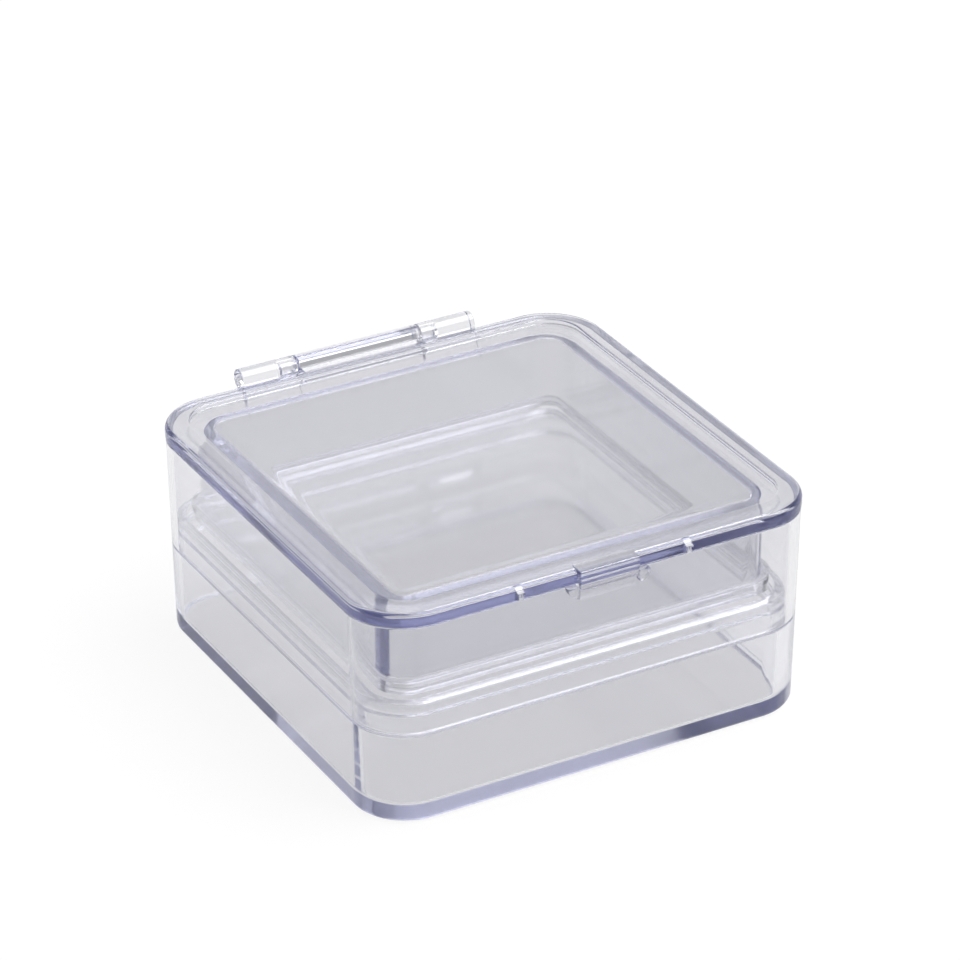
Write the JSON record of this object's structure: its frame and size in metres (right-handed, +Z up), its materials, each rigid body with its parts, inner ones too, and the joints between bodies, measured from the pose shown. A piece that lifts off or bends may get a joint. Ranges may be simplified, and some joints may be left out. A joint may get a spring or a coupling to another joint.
{
  "type": "membrane specimen box",
  "caption": "Clear square hinged box that holds a specimen between elastic films stretched on square frames, one in the base and one under the lid.",
  "frame": {"origin": "on the table, under the middle of the base", "axes": "+Z up, latch towards -Y, hinge towards +Y, +X to the right seen from the latch"},
  "size_m": [0.1, 0.1079, 0.049],
  "materials": {
    "clear_base": "clear polystyrene, polished",
    "clear_lid": "clear polystyrene, polished",
    "clear_frame": "clear polystyrene, polished",
    "film": "clear elastic polyurethane film"
  },
  "bodies": {
    "base_body": {"base": "clear_base", "lower_frame": "clear_frame", "lower_membrane": "film", "lower_clamp_ring": "clear_frame"},
    "lid_body": {"lid": "clear_lid", "upper_clamp_ring": "clear_frame", "upper_membrane": "film", "upper_frame": "clear_frame"}
  },
  "joints": [
    {"name": "lid_hinge", "type": "hinge", "parent": "base_body", "child": "lid_body", "pos_m": [0, 0.05256, 0.0467], "axis": [-1, 0, 0], "range_deg": [0, 104]}
  ]
}
